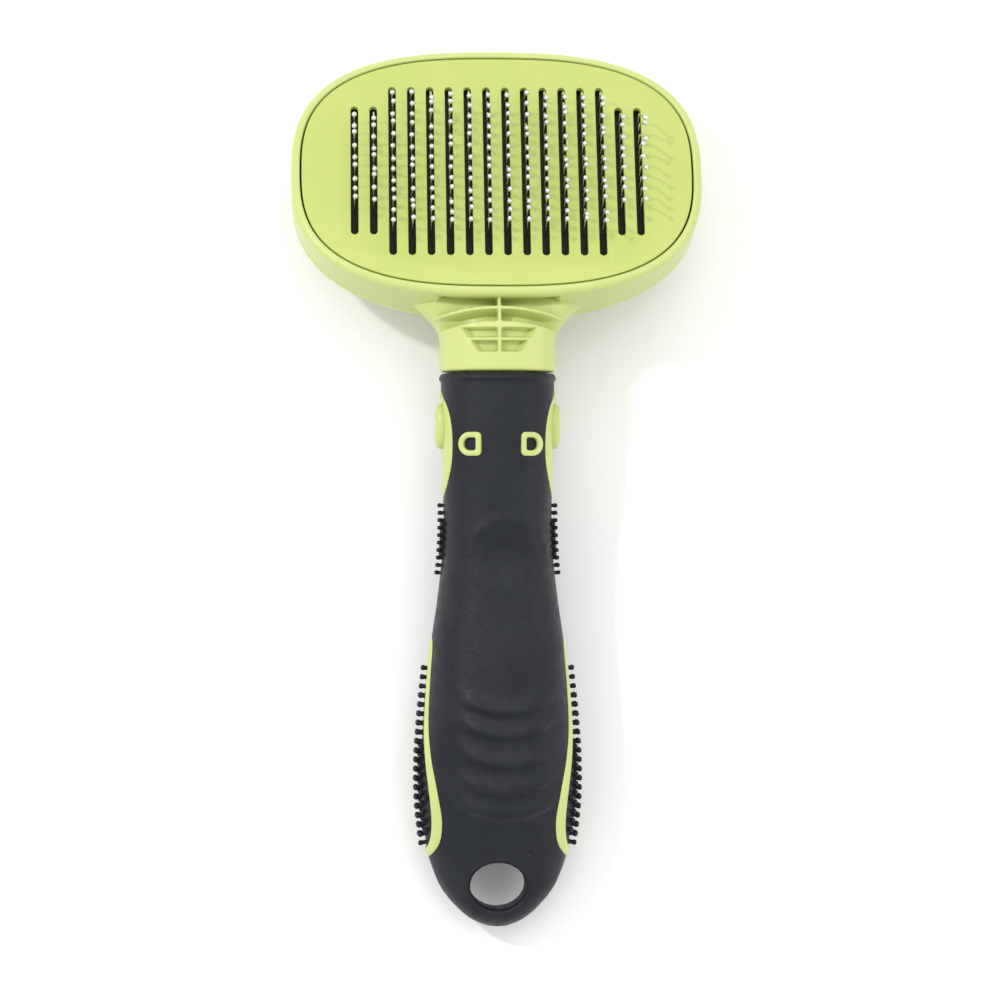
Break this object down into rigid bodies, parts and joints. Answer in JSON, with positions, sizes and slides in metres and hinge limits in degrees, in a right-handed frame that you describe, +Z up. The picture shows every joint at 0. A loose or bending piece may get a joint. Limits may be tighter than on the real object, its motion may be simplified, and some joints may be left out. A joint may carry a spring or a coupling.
{
  "type": "slicker brush",
  "caption": "Self-cleaning slicker brush for pets: bent wire pins through a slotted lift-out plate, tilted plug-in head, rubber grip with hanging hole",
  "frame": {"origin": "centre of the bounding box in X and Y, on the table the brush lies on", "axes": "+Y from the tail of the handle towards the head, +Z up, out of the pin side, +X across the head to the right seen from the pin side"},
  "size_m": [0.0962, 0.2066, 0.041],
  "materials": {
    "lime_plastic": "satin moulded plastic",
    "rubber": "fine matte texture",
    "pad_rubber": "matte",
    "dark_plastic": "matte moulded plastic",
    "pins": "drawn wire with white ball tips",
    "steel": "plated"
  },
  "bodies": {
    "handle": {"rubber_grip": "rubber", "handle_core_front": "lime_plastic", "handle_core_back": "lime_plastic", "lower_trim_left": "lime_plastic", "lower_trim_right": "lime_plastic", "upper_trim_left": "lime_plastic", "upper_trim_right": "lime_plastic", "lower_nub_pad_left": "rubber", "lower_nub_pad_right": "rubber", "upper_nub_pad_left": "rubber", "upper_nub_pad_right": "rubber", "grip_eyelet_left": "lime_plastic", "grip_eyelet_right": "lime_plastic", "handle_screw_1": "steel", "handle_screw_2": "steel", "handle_screw_3": "steel", "release_spring_left": "steel", "release_spring_right": "steel"},
    "head": {"head_frame": "lime_plastic", "back_cover": "lime_plastic", "pin_pad": "pad_rubber", "pin_bed": "dark_plastic", "pin_row_1": "pins", "pin_row_2": "pins", "pin_row_3": "pins", "pin_row_4": "pins", "pin_row_5": "pins", "pin_row_6": "pins", "pin_row_7": "pins", "pin_row_8": "pins", "cover_screw_1": "steel", "cover_screw_2": "steel", "cover_screw_3": "steel", "cover_screw_4": "steel", "return_spring_1": "steel", "return_spring_2": "steel", "return_spring_3": "steel", "return_spring_4": "steel"},
    "wiper": {"stripper_plate": "lime_plastic", "lift_frame": "lime_plastic", "push_button": "lime_plastic"},
    "release_left": {"release_button_left": "lime_plastic"},
    "release_right": {"release_button_right": "lime_plastic"}
  },
  "joints": [
    {"name": "head_release", "type": "slide", "parent": "handle", "child": "head", "axis": [0, 0.9944, 0.1056], "range_m": [0, 0.028]},
    {"name": "plate_lift", "type": "slide", "parent": "head", "child": "wiper", "axis": [0, 0.2913, 0.9566], "range_m": [0, 0.0075], "stiffness_N_per_m": 300, "deforming": ["return_spring_1", "return_spring_2", "return_spring_3", "return_spring_4"]},
    {"name": "button_left", "type": "slide", "parent": "handle", "child": "release_left", "axis": [1, 0, 0], "range_m": [0, 0.0015], "stiffness_N_per_m": 1500, "deforming": ["release_spring_left"]},
    {"name": "button_right", "type": "slide", "parent": "handle", "child": "release_right", "axis": [-1, 0, 0], "range_m": [0, 0.0015], "stiffness_N_per_m": 1500, "deforming": ["release_spring_right"]}
  ]
}
